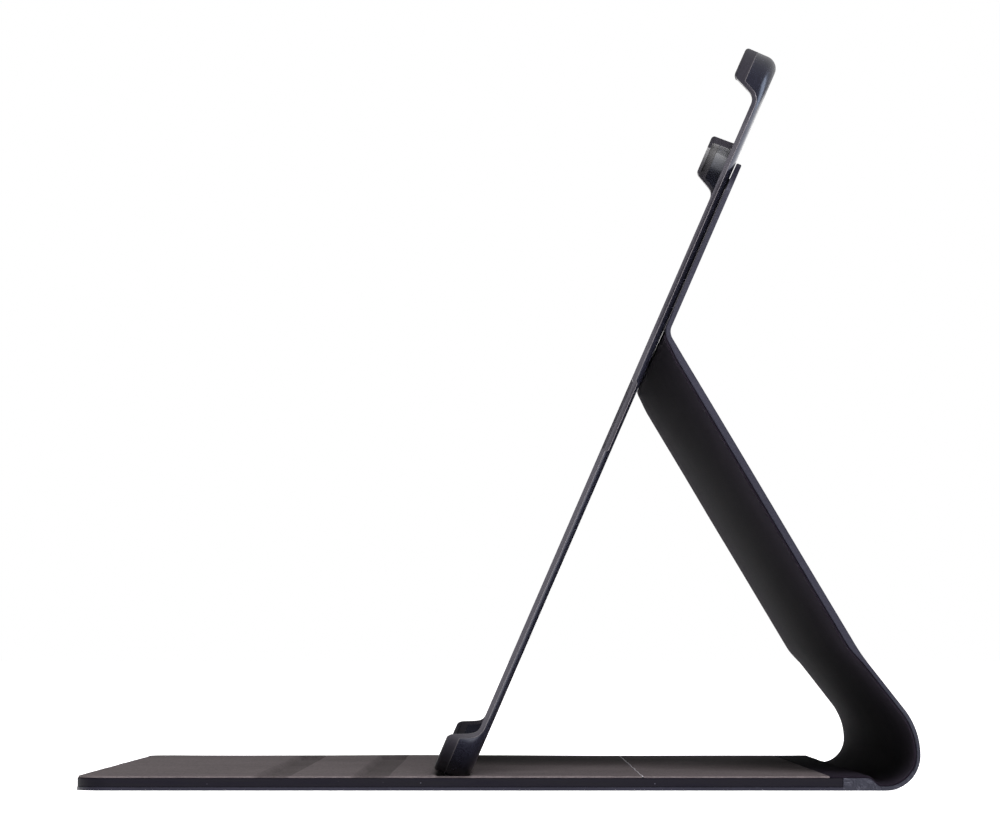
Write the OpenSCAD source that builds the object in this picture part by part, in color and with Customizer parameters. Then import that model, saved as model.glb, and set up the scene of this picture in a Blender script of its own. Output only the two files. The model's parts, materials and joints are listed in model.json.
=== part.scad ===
// Folio case for an 11 inch class tablet, standing open in landscape.
// The cover lies flat, the tray leans back in a groove of the cover, and a stand panel holds it up.
// X runs from the cover's free edge to the soft bend, Y along the case's long side, Z up. Millimetres.

/* [Tablet space] */
// Long side of the tablet
tablet_long = 247.6; // [244:0.1:252]
// Short side of the tablet
tablet_short = 178.5; // [176:0.1:181]
// Thickness of the tablet
tablet_thick = 5.9; // [5.6:0.1:6.4]
// Plan radius of the tablet's corners
tablet_corner = 18; // [15:0.5:20]
// Clearance around the tablet
fit_gap = 0.1; // [0.05:0.05:0.2]

/* [Tray] */
// Thickness of the tray's side walls
wall = 1.8; // [1.6:0.1:2.2]
// Thickness of the tray's back plate
back_plate = 1.5; // [1.4:0.1:1.8]
// Thickness of the front lip
lip_thick = 0.9; // [0.7:0.1:1.2]
// How far the front lip reaches over the tablet
lip_reach = 1.6; // [1:0.1:2.2]
// Rounding of the tray's rear edge
rear_round = 3; // [2:0.25:3.5]
// Rounding of the front lip's outer edge
lip_round = 0.8; // [0.4:0.1:1]
// Height of the parting line between shell and bumper above the tray's back
parting = 5.6; // [5:0.1:6]
// Angle that the tray leans back from upright
recline = 23.5; // [22:0.5:25]

/* [Side openings] */
// Distance from the tray's end to where a side opening starts at the front lip
opening_start = 9; // [8:0.5:12]
// Slant of the opening's ends
opening_slant = 25; // [15:1:35]
// Height of the low rim that is left below a side opening
rim_height = 2.25; // [2:0.05:2.6]
// Width of the bumper's band along a side opening
band = 1; // [0.8:0.1:1.2]
// Length of the pencil and button opening in the long top wall
top_opening = 196; // [150:1:200]
// Width of the notch at the charging port
port_notch = 16.5; // [14:0.5:20]
// Depth of the notch at the charging port
port_notch_depth = 0.6; // [0.3:0.1:0.7]
// Long side of the camera window
camera_long = 32; // [26:1:36]
// Short side of the camera window
camera_short = 18; // [14:1:20]

/* [Cover] */
// Size of the standing case from the cover's free edge to the bend
footprint = 192.2; // [190:0.1:196]
// Size of the cover, spine and stand along the case's long side
cover_wide = 254; // [253:0.5:257]
// Plan radius of the cover's corners
cover_corner = 8; // [6:0.5:14]
// Thickness of the outer skin
skin = 0.8; // [0.6:0.1:1]
// Thickness of the cover's boards
board = 2; // [1.9:0.1:2.3]
// Thickness of the inner lining
lining = 0.5; // [0.4:0.1:0.6]
// Distance from the free edge to the end of the boards
boards_end_at = 174.6; // [172:0.1:176]
// Distance from the free edge to the seam between the two linings
seam_at = 129; // [118:1:138]
// Distances from the free edge to the middle of each groove
groove_at = [44.7, 67.2, 85.9];
// Width of a groove at the top
groove_wide = 8.8; // [8.5:0.1:9.5]
// Depth of a groove
groove_deep = 1.3; // [0.9:0.05:1.4]

/* [Spine and stand] */
// Outer radius of the bend where it leaves the table
low_bend = 8; // [7:0.1:9]
// Outer radius of the bend where it turns into the stand
high_bend = 17; // [14:0.5:19]
// Lean of the soft strip above the bend, from upright
soft_lean = 38.2; // [36:0.1:40]
// Length of the soft strip between the bend and the stand's board
soft_long = 15.9; // [13:0.1:17]
// Thickness of the stand's board
stand_board_thick = 0.8; // [0.7:0.1:0.9]
// Distance from the tray's lower end to the fold
fold_at = 111.7; // [110:0.1:114]
// Distance from the tray's lower end to the top of the upper panel
panel_top = 155.4; // [150:0.1:157]
// Plan radius of the upper panel's top corners
panel_corner = 8; // [4:0.5:12]
// Thickness of the adhesive under the upper panel
adhesive = 0.2; // [0.2:0.1:0.3]
// Thickness of the upper panel's board
panel_board_thick = 0.4; // [0.4:0.1:0.8]

/* [Hidden] */
$fn = 48;

// Small numbers that several sub-parts share
turn_in = 0.8;        // width of the skin that is turned up round the boards
lining_inset = 0.4;   // margin between the lining's outline and the cover's
play = 0.1;           // clearance around an inserted piece
hinge_gap = 0.3;      // gap between two sheets where the skin creases
fold_clearance = 0.3; // space between the folded stand and the tray's back
arc_steps = 10;       // straight pieces in a quarter of a bend
past = 1;             // how far a cutting shape runs past a face

// Heights above the table
board_top = skin + board;
cover_thick = skin + board + lining;
soft_thick = skin + lining;
groove_floor = cover_thick - groove_deep;
free_edge = -footprint / 2;
boards_end = free_edge + boards_end_at;
seam = free_edge + seam_at;
function groove_x(i) = free_edge + groove_at[i];

// Tray sizes
tray_long = tablet_long + 2 * (wall + fit_gap);
tray_short = tablet_short + 2 * (wall + fit_gap);
bay_thick = tablet_thick + fit_gap;
tray_thick = back_plate + bay_thick + lip_thick;
bay_corner = tablet_corner + fit_gap;
tray_corner = bay_corner + wall;

// The tray's rear lower edge, which stands just above the floor of the third groove
tray_rise = groove_floor + play + rear_round
    - rear_round * (cos(recline) + sin(recline));
tray_foot = [groove_x(2) + 3, tray_rise];
tray_up = [sin(recline), cos(recline)];
tray_back = [cos(recline), -sin(recline)];

// The fold between the stand and the upper panel
stand_thick = skin + stand_board_thick + lining;
fold_axis = tray_foot + fold_at * tray_up + (fold_clearance + stand_thick / 2) * tray_back;

// The bend: two arcs, seen along the long side. An angle is counted from straight down.
low_centre = [footprint / 2 - low_bend, low_bend];
high_centre = [footprint / 2 - high_bend, low_bend];
soft_mid = soft_thick / 2;
spine_turn = 60;
low_cut = spine_turn / 2;
function on_arc(centre, radius, angle) = centre + radius * [sin(angle), -cos(angle)];
function arc(centre, radius, from, to) =
    let (steps = ceil(arc_steps * (to - from) / 90))
    [for (i = [0:steps]) on_arc(centre, radius, from + (to - from) * i / steps)];

// Where two lines cross, each given by a point and a direction
function crossing(p, u, q, w) = p + u * cross(q - p, w) / cross(u, w);
spine_point = on_arc(low_centre, low_bend - soft_mid, spine_turn);
spine_way = [cos(spine_turn), sin(spine_turn)];
strip_turn = 90 + soft_lean;
strip_way = [cos(strip_turn), sin(strip_turn)];
strip_start = on_arc(high_centre, high_bend, strip_turn);
crease_low = crossing(spine_point, spine_way, [0, soft_mid], [1, 0]);
strip_mid = on_arc(high_centre, high_bend - soft_mid, strip_turn);
crease_high = crossing(spine_point, spine_way, strip_mid, strip_way);
high_cut = 90 + atan2(crease_high[1] - high_centre[1], crease_high[0] - high_centre[0]);
function gap_angle(radius) = hinge_gap / 2 / radius * 180 / PI;

// The stand's outer face runs from the knee to the fold, touching a circle round the fold's axis
knee = strip_start + soft_long * strip_way;
to_fold = fold_axis - knee;
stand_turn = atan2(to_fold[1], to_fold[0]) - asin(stand_thick / 2 / norm(to_fold));
stand_way = [cos(stand_turn), sin(stand_turn)];
stand_out = [sin(stand_turn), -cos(stand_turn)];
stand_top = fold_axis + stand_out * stand_thick / 2;

// Outer contours of the sheets, each from the free edge's side towards the fold
cover_end_path = concat([[boards_end, 0]], arc(low_centre, low_bend, 0, low_cut - gap_angle(low_bend)));
spine_path = concat(
    arc(low_centre, low_bend, low_cut + gap_angle(low_bend), 90),
    [for (p = arc(high_centre, high_bend, 90, high_cut - gap_angle(high_bend))) if (p[1] > low_bend) p]
);
strip_path = arc(high_centre, high_bend, high_cut + gap_angle(high_bend), strip_turn);
board_start = knee + 2 * stand_way;
stand_path = concat(strip_path, [knee, board_start, stand_top]);

// The contour p moved inwards by depth, which is one number or one for each point
function unit(v) = v / norm(v);
function inward(a, b) = let (v = unit(b - a)) [-v[1], v[0]];
function depth_at(depth, i) = is_list(depth) ? depth[i] : depth;
function inset(p, depth) =
    let (last = len(p) - 1)
    [for (i = [0:last])
        let (before = inward(p[max(i - 1, 0)], p[max(i, 1)]),
             after = inward(p[min(i, last - 1)], p[min(i + 1, last)]),
             middle = unit(before + after))
        p[i] + middle * depth_at(depth, i) / (middle * before)];
function backwards(p) = [for (i = [len(p) - 1:-1:0]) p[i]];

// A cross-section drawn in X and Z, as wide as stated along Y
module across(wide) {
    rotate([90, 0, 0])
        linear_extrude(height = wide, center = true)
            children();
}

// A sheet that follows a contour, between two depths below it
module sheet(path, outer, inner, wide = cover_wide) {
    across(wide)
        polygon(concat(inset(path, outer), backwards(inset(path, inner))));
}

// Rounded rectangle in plan, from x0 to x1
module round_plan(x0, x1, wide, radius) {
    translate([x0 + radius, -wide / 2]) square([x1 - x0 - 2 * radius, wide]);
    translate([x0, radius - wide / 2]) square([x1 - x0, wide - 2 * radius]);
    for (x = [x0 + radius, x1 - radius], y = [-1, 1])
        translate([x, y * (wide / 2 - radius)]) circle(radius);
}

// Outline of the cover, set in by a margin, with rounded corners at its free edge only
module cover_plan(margin, x1) {
    radius = cover_corner - margin;
    intersection() {
        round_plan(free_edge + margin, x1 + 2 * radius, cover_wide - 2 * margin, radius);
        translate([free_edge, -cover_wide / 2]) square([x1 - free_edge, cover_wide]);
    }
}

module cover_skin() {
    color("#2b2936") {
        difference() {
            linear_extrude(height = board_top) cover_plan(0, boards_end);
            translate([0, 0, skin])
                linear_extrude(height = board + past) cover_plan(turn_in, boards_end + past);
        }
        sheet(cover_end_path, 0, skin);
    }
}

// Boards lie between the grooves, and each one stops short of the trough of lining in its groove
board_gap = groove_wide / 2 + 0.6;
board_limits = [
    [free_edge + turn_in + play, groove_x(0) - board_gap],
    [groove_x(0) + board_gap, groove_x(1) - board_gap],
    [groove_x(1) + board_gap, groove_x(2) - board_gap],
    [groove_x(2) + board_gap, boards_end]
];
closure_size = [20, 5, 1.2];
closure_x = free_edge + 7;
closure_y = 78;

module closure_pocket(i) {
    size = closure_size + 2 * play * [1, 1, 1];
    translate([closure_x, (i - 1.5) * 2 * closure_y, board_top - closure_size[2] - play])
        translate([-size[1] / 2, -size[0] / 2, 0])
            cube([size[1], size[0], size[2] + past]);
}

module cover_board(i) {
    limits = board_limits[i - 1];
    color("#8a8378")
        difference() {
            translate([0, 0, skin])
                linear_extrude(height = board)
                    intersection() {
                        cover_plan(turn_in + play, boards_end);
                        translate([limits[0], -cover_wide / 2])
                            square([limits[1] - limits[0], cover_wide]);
                    }
            if (i == 1)
                for (k = [1, 2]) closure_pocket(k);
        }
}

module closure_magnet(i) {
    color("silver")
        translate([closure_x, (i - 1.5) * 2 * closure_y, board_top - closure_size[2]])
            translate([-closure_size[1] / 2, -closure_size[0] / 2, 0])
                cube([closure_size[1], closure_size[0], closure_size[2]]);
}

// Magnet bars lie on the skin, below the trough of lining
groove_long = cover_wide - 2 * turn_in;
magnet_wide = 7;
magnet_long = 236;
magnet_thick = groove_floor - lining - skin - play;

module groove_magnet(i) {
    color("silver")
        translate([groove_x(i - 1) - magnet_wide / 2, -magnet_long / 2, skin])
            cube([magnet_wide, magnet_long, magnet_thick]);
}

// The trough of lining in a groove, with sloping sides
groove_slope = 1;
groove_land = 0.3;

module groove_trough(x) {
    half = groove_wide / 2;
    top = cover_thick;
    path = [
        [x + half + groove_land, top], [x + half, top], [x + half - groove_slope, groove_floor],
        [x - half + groove_slope, groove_floor], [x - half, top], [x - half - groove_land, top]
    ];
    sheet(path, 0, lining, groove_long);
}

module grooved_lining() {
    color("#55504e") {
        difference() {
            translate([0, 0, board_top])
                linear_extrude(height = lining) cover_plan(lining_inset, seam);
            for (i = [0:2])
                translate([groove_x(i) - groove_wide / 2 - groove_land, -groove_long / 2, board_top - past])
                    cube([groove_wide + 2 * groove_land, groove_long, lining + 2 * past]);
        }
        for (i = [0:2]) groove_trough(groove_x(i));
    }
}

// The plain lining laps up to the hinge lining, which covers the ends of the boards
lap = 3;

module plain_lining() {
    color("#504b49")
        translate([seam, lining_inset - cover_wide / 2, board_top])
            cube([boards_end - lap - seam, cover_wide - 2 * lining_inset, lining]);
}

// Beyond the boards the hinge lining fills down to the skin, then follows it round the bend
filler = 6;
filler_slope = 2;

module hinge_lining() {
    below = inset(cover_end_path, skin);
    above = inset(cover_end_path, soft_thick);
    wide = cover_wide - 2 * lining_inset;
    color("#3a3633")
        across(wide)
            polygon(concat(
                [[boards_end - lap, cover_thick], [boards_end - lap, board_top], [boards_end, board_top]],
                below,
                backwards([for (p = above) if (p[0] > boards_end + filler + filler_slope) p]),
                [[boards_end + filler + filler_slope, soft_thick], [boards_end + filler, cover_thick]]
            ));
}

module spine_skin() {
    color("#2b2936") sheet(spine_path, 0, skin);
}

module spine_lining() {
    color("#3a3633") sheet(spine_path, skin, soft_thick, cover_wide - 2 * lining_inset);
}

// The stand's skin is turned up along both sides of its board
board_path = [board_start, stand_top];

module stand_skin() {
    side = (cover_wide - turn_in) / 2;
    color("#2b2936") {
        sheet(stand_path, 0, skin);
        for (y = [-side, side])
            translate([0, y, 0]) sheet(board_path, skin, skin + stand_board_thick, turn_in);
    }
}

module stand_board() {
    color("#8a8378")
        sheet(board_path, skin, skin + stand_board_thick, cover_wide - 2 * turn_in);
}

module stand_lining() {
    raised = skin + stand_board_thick;
    below = concat([for (p = strip_path) skin], [skin, raised, raised]);
    above = concat([for (p = strip_path) soft_thick], [soft_thick, stand_thick, stand_thick]);
    color("#2a2528") sheet(stand_path, below, above, cover_wide - 2 * lining_inset);
}

// The tray is drawn lying on its back: X from its lower end, Z from its back, then stood in its groove
module stand_up() {
    translate([tray_foot[0], 0, tray_foot[1]])
        rotate([0, recline - 90, 0])
            children();
}

// Section of the tray's outside across its full width, with the rear and lip edges rounded
module tray_section(half) {
    translate([-half, rear_round]) square([2 * half, tray_thick - rear_round - lip_round]);
    translate([rear_round - half, 0]) square([2 * (half - rear_round), tray_thick]);
    translate([lip_round - half, rear_round]) square([2 * (half - lip_round), tray_thick - rear_round]);
    for (side = [-1, 1]) {
        translate([side * (half - rear_round), rear_round]) circle(rear_round);
        translate([side * (half - lip_round), tray_thick - lip_round]) circle(lip_round);
    }
}

module tray_corner_post() {
    rotate_extrude()
        intersection() {
            tray_section(tray_corner);
            square([tray_corner, tray_thick]);
        }
}

module tray_outside() {
    half_long = tray_long / 2;
    translate([tray_short / 2, 0, 0]) {
        rotate([90, 0, 0])
            linear_extrude(height = tray_long - 2 * tray_corner, center = true)
                tray_section(tray_short / 2);
        rotate([90, 0, 90])
            linear_extrude(height = tray_short - 2 * tray_corner, center = true)
                tray_section(half_long);
        for (x = [-1, 1], y = [-1, 1])
            translate([x * (tray_short / 2 - tray_corner), y * (half_long - tray_corner), 0])
                tray_corner_post();
    }
}

// A plan-rounded block inside the tray's walls, from one height to another
module bay_block(margin, from, to) {
    translate([0, 0, from])
        linear_extrude(height = to - from)
            round_plan(
                wall + margin, tray_short - wall - margin,
                tray_long - 2 * (wall + margin), bay_corner - margin
            );
}

// The points of an arc that rounds the corner at b, between a and c
function round_corner(a, b, c, radius) =
    let (u = unit(a - b),
         w = unit(c - b),
         half = acos(u * w) / 2,
         centre = b + unit(u + w) * radius / sin(half),
         from = b + u * radius / tan(half) - centre,
         turn = (180 - 2 * half) * sign(cross(w, u)))
    [for (i = [0:corner_steps])
        let (angle = turn * i / corner_steps)
        centre + [from[0] * cos(angle) - from[1] * sin(angle), from[0] * sin(angle) + from[1] * cos(angle)]];
corner_steps = 6;

// Outline of a side opening: along the wall and up from the tray's back, grown by a margin
opening_lip_round = 2;
opening_foot_round = 2.5;

module opening_outline(from, to, grow, notch) {
    top = tray_thick;
    above = tray_thick + 2 * past;
    drop = top - rim_height;
    run = drop * tan(opening_slant);
    rise = grow / cos(opening_slant);
    start = from - rise;
    end = to + rise;
    foot = rim_height - grow;
    low_start = start + run + grow * tan(opening_slant);
    low_end = end - run - grow * tan(opening_slant);
    middle = (from + to) / 2;
    half_notch = port_notch / 2;
    floor_points = notch
        ? [[middle - half_notch - port_notch_depth, foot], [middle - half_notch, foot - port_notch_depth],
           [middle + half_notch, foot - port_notch_depth], [middle + half_notch + port_notch_depth, foot]]
        : [[middle, foot]];
    first = floor_points[0];
    last = floor_points[len(floor_points) - 1];
    left_out = [start - 2 * opening_lip_round, top];
    right_out = [end + 2 * opening_lip_round, top];
    polygon(concat(
        [[left_out[0], above]],
        [[left_out[0] + opening_lip_round / 2, top]],
        round_corner(left_out, [start, top], [low_start, foot], opening_lip_round),
        round_corner([start, top], [low_start, foot], first, opening_foot_round + grow),
        floor_points,
        round_corner(last, [low_end, foot], [end, top], opening_foot_round + grow),
        round_corner([low_end, foot], [end, top], right_out, opening_lip_round),
        [[right_out[0] - opening_lip_round / 2, top]],
        [[right_out[0], above]]
    ));
}
opening_depth = 12;

module short_side_openings(grow) {
    for (side = [-1, 1])
        translate([0, side * (tray_long / 2 + past - opening_depth / 2), 0])
            rotate([90, 0, 0])
                linear_extrude(height = opening_depth, center = true)
                    opening_outline(opening_start, tray_short - opening_start, grow, side < 0);
}

module top_side_opening(grow) {
    translate([tray_short + past - wall - lip_reach - 2 * past, 0, 0])
        rotate([90, 0, 90])
            linear_extrude(height = wall + lip_reach + 3 * past)
                opening_outline(-top_opening / 2, top_opening / 2, grow, false);
}

module side_openings(grow) {
    short_side_openings(grow);
    top_side_opening(grow);
}

// Rounded window through the back plate at the far upper corner, for the camera
camera_from_top = 15;
camera_from_side = 30;

module camera_window() {
    mid_x = tray_short - camera_from_top;
    translate([0, tray_long / 2 - camera_from_side, -past])
        linear_extrude(height = back_plate + 2 * past)
            round_plan(mid_x - camera_short / 2, mid_x + camera_short / 2, camera_long, camera_short / 2 - play);
}

module tray_blank() {
    difference() {
        tray_outside();
        bay_block(0, back_plate, back_plate + bay_thick);
        bay_block(lip_reach, back_plate + past, tray_thick + past);
        camera_window();
    }
}

// The part of the tray that the bumper takes up: all above the parting line, and the bands
module bumper_zone() {
    difference() {
        union() {
            translate([-past, -tray_long, parting]) cube([tray_short + 2 * past, 2 * tray_long, tray_thick]);
            side_openings(band);
        }
        bay_block(0, -past, back_plate + bay_thick);
    }
}

// Steel strip in a closed pocket in the tray's lower wall
keeper_size = [0.6, 200, 3];
keeper_place = [0.6, -keeper_size[1] / 2, 2.2];

module keeper_block(margin) {
    translate(keeper_place - margin * [1, 1, 1]) cube(keeper_size + 2 * margin * [1, 1, 1]);
}

module rear_shell() {
    color("#1d1d22")
        stand_up()
            difference() {
                tray_blank();
                bumper_zone();
                side_openings(0);
                keeper_block(play / 2);
            }
}

module bumper_frame() {
    color("#25242b")
        stand_up()
            difference() {
                intersection() {
                    tray_blank();
                    bumper_zone();
                }
                side_openings(0);
            }
}

module keeper_strip() {
    color("silver") stand_up() keeper_block(0);
}

// The upper panel starts just above the fold, and lies on the tray's back
panel_start = fold_at + stand_thick / 2 + hinge_gap;
panel_thick = adhesive + panel_board_thick + skin;
adhesive_margin = 4;

module panel_plan(margin) {
    intersection() {
        round_plan(
            panel_start - 2 * panel_corner, panel_top - margin,
            cover_wide - 2 * margin, panel_corner - margin
        );
        translate([panel_start, -cover_wide / 2]) square([panel_top, cover_wide]);
    }
}

module panel_layer(margin, below, thick) {
    stand_up()
        translate([0, 0, -below - thick])
            linear_extrude(height = thick) panel_plan(margin);
}

module panel_adhesive() {
    color("#c9b98a") panel_layer(adhesive_margin, 0, adhesive);
}

module panel_board() {
    color("#8a8378") panel_layer(turn_in, adhesive, panel_board_thick);
}

module panel_skin() {
    color("#2b2936")
        difference() {
            panel_layer(0, 0, panel_thick);
            stand_up()
                translate([0, 0, skin - panel_thick])
                    linear_extrude(height = panel_thick)
                        round_plan(
                            panel_start - 2 * panel_corner, panel_top - turn_in,
                            cover_wide - 2 * turn_in, panel_corner - turn_in
                        );
        }
}

cover_skin();
for (i = [1:4]) cover_board(i);
for (i = [1:3]) groove_magnet(i);
for (i = [1:2]) closure_magnet(i);
grooved_lining();
plain_lining();
hinge_lining();
spine_skin();
spine_lining();
stand_skin();
stand_board();
stand_lining();
rear_shell();
bumper_frame();
keeper_strip();
panel_adhesive();
panel_board();
panel_skin();
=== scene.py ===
"""The looks of the standing tablet case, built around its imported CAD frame. Metres, Z up."""
import json
import math

import bmesh
import bpy
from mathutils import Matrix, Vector, noise


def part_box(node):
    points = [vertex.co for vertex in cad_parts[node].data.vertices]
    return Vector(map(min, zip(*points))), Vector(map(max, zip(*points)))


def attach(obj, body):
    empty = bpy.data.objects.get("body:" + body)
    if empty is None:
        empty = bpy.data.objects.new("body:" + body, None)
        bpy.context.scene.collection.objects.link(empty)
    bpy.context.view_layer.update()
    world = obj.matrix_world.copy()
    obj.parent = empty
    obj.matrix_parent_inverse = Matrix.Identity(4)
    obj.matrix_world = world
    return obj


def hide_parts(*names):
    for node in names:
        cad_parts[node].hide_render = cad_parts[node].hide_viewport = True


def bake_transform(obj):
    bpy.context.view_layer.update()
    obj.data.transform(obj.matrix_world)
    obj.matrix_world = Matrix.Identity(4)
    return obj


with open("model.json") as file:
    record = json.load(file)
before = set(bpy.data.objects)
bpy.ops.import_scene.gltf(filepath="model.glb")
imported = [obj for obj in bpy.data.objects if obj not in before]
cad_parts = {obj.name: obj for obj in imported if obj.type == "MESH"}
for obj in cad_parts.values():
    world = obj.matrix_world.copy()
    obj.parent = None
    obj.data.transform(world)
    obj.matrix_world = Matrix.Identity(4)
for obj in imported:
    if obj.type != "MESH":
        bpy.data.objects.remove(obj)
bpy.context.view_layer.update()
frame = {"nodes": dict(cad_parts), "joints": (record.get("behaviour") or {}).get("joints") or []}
MM = 0.001


# ---------------------------------------------------------------- places from the frame
def joint_at(name):
    """(x, z) of a joint's axis."""
    pos = next(j for j in frame["joints"] if j["name"] == name)["pos_m"]
    return Vector((pos[0], pos[2]))


COVER_LOW, COVER_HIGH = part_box("cover_skin")
PLAIN_LOW, PLAIN_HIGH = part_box("plain_lining")
FREE_EDGE = COVER_LOW.x
HALF_WIDE = COVER_HIGH.y
SEAM = PLAIN_LOW.x
LINING_END = PLAIN_HIGH.x
COVER_TOP = PLAIN_HIGH.z
BOARDS_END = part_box("cover_board_4")[1].x
GROOVES = [sum(c.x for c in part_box(f"groove_magnet_{i}")) / 2 for i in (1, 2, 3)]
FOLD = joint_at("mid_fold")
BEND_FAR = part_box("spine_skin")[1].x

# Sizes that the CAD model has too
SKIN = 0.8 * MM
LINING = 0.5 * MM
SOFT = SKIN + LINING
STAND_THICK = 2.1 * MM
PANEL_THICK = 1.4 * MM
ADHESIVE = 0.2 * MM
FOLD_CLEARANCE = 0.3 * MM
LOW_BEND = 8 * MM
HIGH_BEND = 17 * MM
SOFT_LEAN = math.radians(38.2)
SOFT_LONG = 15.9 * MM
SPINE_TURN = math.radians(60)
RECLINE = math.radians(23.5)
CORNER = 8 * MM
PANEL_CORNER = 8 * MM
GROOVE_HALF = 4.4 * MM
GROOVE_DEEP = 1.3 * MM
UPPER_PANEL = 43.7 * MM
LINING_INSET = 0.35 * MM
EDGE_LEFT = 0.45 * MM

# Small distances between and around the sheets
SKIN_GAP = 0.05 * MM      # between the cover's skin and what lies on it
LINING_GAP = 0.02 * MM    # between a lining's back and the skin's turned edge
SOFT_PLAY = 0.1 * MM      # the soft laminate is this much thicker than its two sheets
SEAM_HALF = 0.15 * MM     # half of the gap between the two cover linings
HINGE_GAP = 0.1 * MM      # between the plain lining and the hinge lining
BEND_INSET = 0.5 * MM     # of the bend and stand linings from the case's sides
FOLD_LEAD = 4 * MM        # how far before the fold its pieces start
FOLD_INSIDE = 6.6 * MM    # how far past the fold's start its lining reaches
NOSE = 0.55 * MM          # rounding of the upper panel's free edge

TRAY_UP = Vector((math.sin(RECLINE), math.cos(RECLINE)))
TRAY_BACK = Vector((math.cos(RECLINE), -math.sin(RECLINE)))


# ---------------------------------------------------------------- the sheets' outer contour
class Contour:
    """The outer contour of the laminate in X and Z, as points with inward normals and lengths along it."""

    def __init__(self):
        self.points = []
        self.marks = {}
        self.trace()
        self.measure()

    def line_to(self, end, step):
        start = self.points[-1]
        count = max(1, math.ceil((end - start).length / step))
        self.points += [start.lerp(end, i / count) for i in range(1, count + 1)]

    def arc(self, centre, radius, first, last, step=0.35 * MM):
        """Counter-clockwise arc. Angles are counted from straight down, in radians."""
        count = max(2, math.ceil(radius * (last - first) / step))
        for i in range(count + 1):
            angle = first + (last - first) * i / count
            point = centre + radius * Vector((math.sin(angle), -math.cos(angle)))
            if not self.points or (point - self.points[-1]).length > 0.02 * MM:
                self.points.append(point)

    def corner_to(self, corner, way, radius, step):
        """Runs straight towards a corner, rounds it, and leaves it along way."""
        incoming = (corner - self.points[-1]).normalized()
        turn = incoming.angle(way)
        reach = radius * math.tan(turn / 2)
        self.line_to(corner - incoming * reach, step)
        side = 1 if incoming.x * way.y - incoming.y * way.x > 0 else -1
        normal = Vector((-incoming.y, incoming.x)) * side
        centre = self.points[-1] + normal * radius
        count = max(3, math.ceil(radius * turn / (0.3 * MM)))
        arm = self.points[-1] - centre
        for i in range(1, count + 1):
            a = side * turn * i / count
            self.points.append(centre + Vector((arm.x * math.cos(a) - arm.y * math.sin(a),
                                                arm.x * math.sin(a) + arm.y * math.cos(a))))

    def mark(self, name):
        self.marks[name] = len(self.points) - 1

    def trace(self):
        low_centre = Vector((BEND_FAR - LOW_BEND, LOW_BEND))
        high_centre = Vector((BEND_FAR - HIGH_BEND, LOW_BEND))
        self.points.append(Vector((FREE_EDGE, 0)))
        self.line_to(Vector((BOARDS_END, 0)), 1 * MM)
        self.mark("boards_end")
        self.line_to(Vector((low_centre.x, 0)), 0.5 * MM)
        self.arc(low_centre, LOW_BEND, 0, SPINE_TURN)
        self.mark("spine")
        self.arc(low_centre, LOW_BEND, SPINE_TURN, math.pi / 2)
        self.arc(high_centre, HIGH_BEND, math.pi / 2, math.pi / 2 + SOFT_LEAN)
        self.mark("strip")
        strip_way = Vector((-math.sin(SOFT_LEAN), math.cos(SOFT_LEAN)))
        knee = self.points[-1] + strip_way * SOFT_LONG
        gap = FOLD - knee
        turn = math.atan2(gap.y, gap.x) - math.asin(STAND_THICK / 2 / gap.length)
        self.stand_way = Vector((math.cos(turn), math.sin(turn)))
        stand_out = Vector((self.stand_way.y, -self.stand_way.x))
        stand_top = FOLD + stand_out * STAND_THICK / 2
        self.corner_to(knee, self.stand_way, 40 * MM, 1 * MM)
        # the upper panel's outer face lies behind the tray, and meets the stand's face in a concave fold
        offset = PANEL_THICK - FOLD_CLEARANCE - STAND_THICK / 2
        on_panel = FOLD + TRAY_BACK * offset
        across = self.stand_way.x * TRAY_UP.y - self.stand_way.y * TRAY_UP.x
        gap = on_panel - stand_top
        along = (gap.x * TRAY_UP.y - gap.y * TRAY_UP.x) / across
        fold = stand_top + self.stand_way * along
        self.line_to(fold - self.stand_way * 7 * MM, 1.5 * MM)
        self.mark("fold_start")
        self.corner_to(fold, TRAY_UP, 3 * MM, 0.5 * MM)
        self.line_to(fold + TRAY_UP * 5 * MM, 0.5 * MM)
        self.mark("fold_end")
        self.fold_point = fold
        self.line_to(on_panel + TRAY_UP * UPPER_PANEL, 1.5 * MM)
        self.mark("top")

    def measure(self):
        pts = self.points
        self.s = [0.0]
        for a, b in zip(pts, pts[1:]):
            self.s.append(self.s[-1] + (b - a).length)
        self.normals = []
        for i in range(len(pts)):
            before = pts[max(i, 1)] - pts[max(i, 1) - 1]
            after = pts[min(i + 1, len(pts) - 1)] - pts[min(i + 1, len(pts) - 1) - 1]
            way = (before.normalized() + after.normalized()).normalized()
            self.normals.append(Vector((-way.y, way.x)))

    def at(self, mark):
        return self.points[self.marks[mark]]

    def length_at(self, mark):
        return self.s[self.marks[mark]]


contour = Contour()
S_BOARDS = contour.length_at("boards_end")
S_FOLD_START = contour.length_at("fold_start")
S_FOLD_END = contour.length_at("fold_end")
S_STRIP = contour.length_at("strip")
S_TOP = contour.length_at("top")
S_KNEE = S_STRIP + SOFT_LONG


def smooth(low, high, value):
    t = min(1.0, max(0.0, (value - low) / (high - low)))
    return t * t * (3 - 2 * t)


def ripple(s, y, scale, seed):
    """Smooth noise from -1 to 1 over the sheet; scale is the size of its waves in metres."""
    return noise.noise(Vector((s / scale, y / scale, seed)))


# ---------------------------------------------------------------- mesh builders
def link_mesh(name, mesh, material, smooth_angle=35):
    obj = bpy.data.objects.new(name, mesh)
    bpy.context.scene.collection.objects.link(obj)
    mesh.materials.append(material)
    mesh.shade_smooth()
    mesh.set_sharp_from_angle(angle=math.radians(smooth_angle))
    return obj


def mesh_object(name, points, faces, material, smooth_angle=35):
    mesh = bpy.data.meshes.new(name)
    mesh.from_pydata(points, [], faces)
    mesh.update()
    return link_mesh(name, mesh, material, smooth_angle)


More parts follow.
